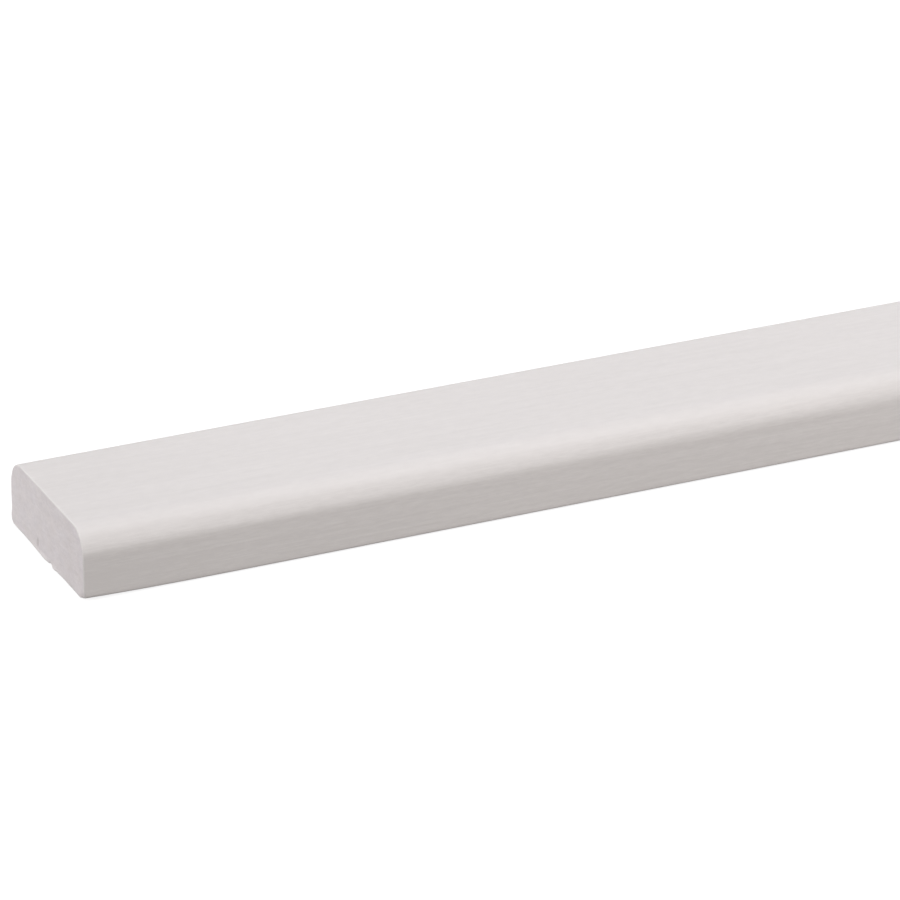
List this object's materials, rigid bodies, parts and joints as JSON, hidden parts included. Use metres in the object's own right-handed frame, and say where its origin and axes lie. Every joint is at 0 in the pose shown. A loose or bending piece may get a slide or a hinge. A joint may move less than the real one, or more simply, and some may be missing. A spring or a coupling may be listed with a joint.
{
  "type": "architrave moulding",
  "caption": "Straight length of primed wooden architrave with a flat back and both long edges of its face rounded over, to trim the joint between a door lining and the wall.",
  "frame": {"origin": "middle of the flat back face, at half the length and half the width, so the moulding lies on its back on the level Z = 0", "axes": "+X along the length, +Y across the width from the near long edge to the far one, +Z from the back to the face"},
  "size_m": [2.4, 0.044, 0.016],
  "materials": {
    "white_primer": "matt off-white primer on all faces, brushed along the length, sawn ends coated too"
  },
  "bodies": {
    "root": {"architrave": "white_primer"}
  },
  "joints": []
}
